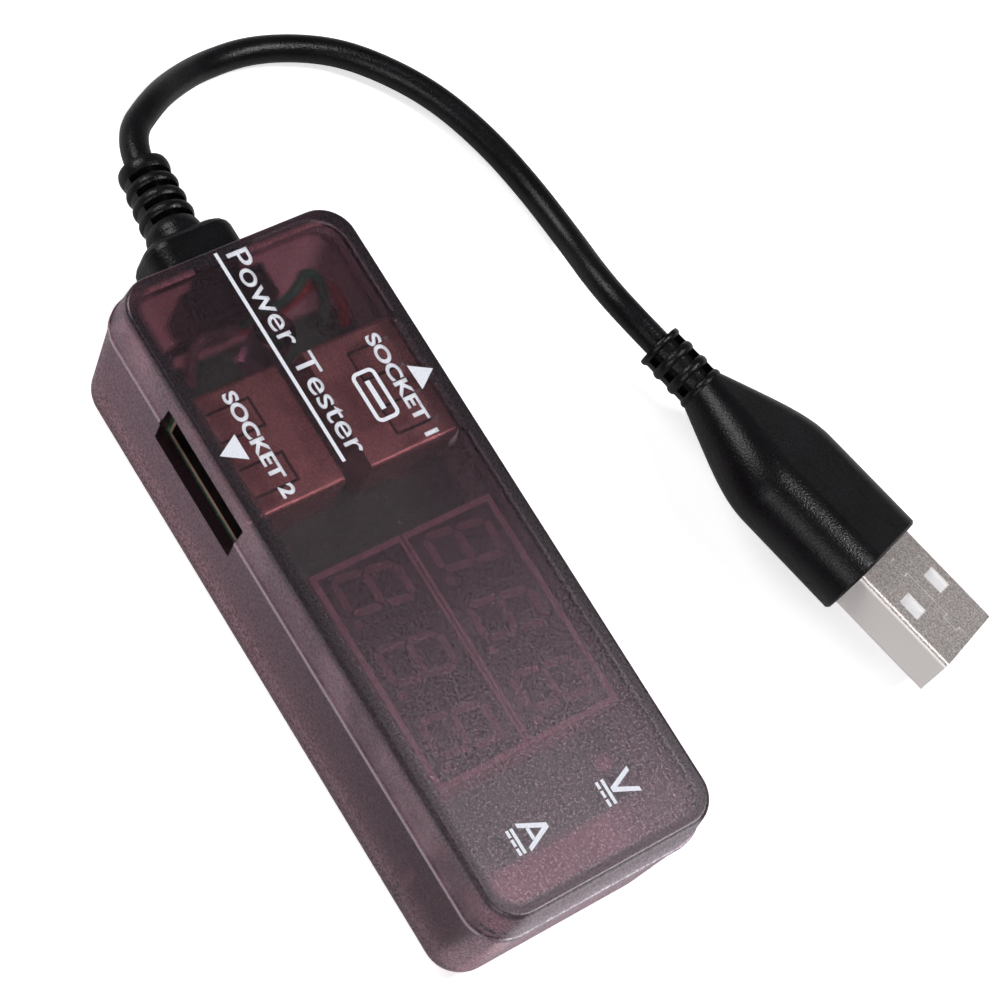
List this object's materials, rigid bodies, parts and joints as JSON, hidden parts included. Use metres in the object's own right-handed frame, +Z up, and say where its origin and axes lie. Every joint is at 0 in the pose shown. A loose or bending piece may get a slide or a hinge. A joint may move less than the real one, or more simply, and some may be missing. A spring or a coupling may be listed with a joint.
{
  "type": "usb power meter",
  "caption": "In-line USB voltage and current meter: translucent two-shell case with displays under the lid, a socket in each long side, and a short lead ending in a USB-A plug.",
  "frame": {"origin": "centre of the case's bottom face, on the surface it rests on", "axes": "+X along the case from the lead's end to the display end, +Y out of socket 1's side, +Z up through the lid"},
  "size_m": [0.0952, 0.0715, 0.019],
  "materials": {
    "shell_plastic": "translucent smoke-tinted polycarbonate, fine satin texture",
    "board_laminate": "green solder mask over glass laminate",
    "chip_resin": "moulded epoxy",
    "ceramic": "fired ceramic with tinned ends",
    "plated_steel": "nickel-plated sheet",
    "insulator_plastic": "moulded liquid-crystal polymer",
    "white_plastic": "moulded polyester",
    "contact_metal": "gold-flashed spring brass",
    "display_plastic": "moulded case with a printed black face",
    "segment_resin": "diffused epoxy",
    "cord_pvc": "satin black PVC",
    "wire_red": "PVC insulation",
    "wire_black": "PVC insulation",
    "wire_green": "PVC insulation",
    "wire_white": "PVC insulation"
  },
  "bodies": {
    "root": {"bottom_shell": "shell_plastic", "top_shell": "shell_plastic", "circuit_board": "board_laminate", "microcontroller": "chip_resin", "voltage_regulator": "chip_resin", "shunt_resistor": "chip_resin", "ceramic_capacitors": "ceramic", "chip_resistors": "chip_resin", "socket_1_shell": "plated_steel", "socket_2_shell": "plated_steel", "socket_1_insulator": "insulator_plastic", "socket_2_insulator": "insulator_plastic", "socket_1_contacts": "contact_metal", "socket_2_contacts": "contact_metal", "voltmeter_case": "display_plastic", "ammeter_case": "display_plastic", "voltmeter_segments": "segment_resin", "ammeter_segments": "segment_resin", "voltmeter_pins": "contact_metal", "ammeter_pins": "contact_metal", "strain_relief": "cord_pvc", "cord": "cord_pvc", "cord_inner_end": "cord_pvc", "wire_red": "wire_red", "wire_black": "wire_black", "wire_green": "wire_green", "wire_white": "wire_white", "plug_overmould": "cord_pvc", "plug_shell": "plated_steel", "plug_insulator": "white_plastic", "plug_contacts": "contact_metal"}
  },
  "joints": []
}
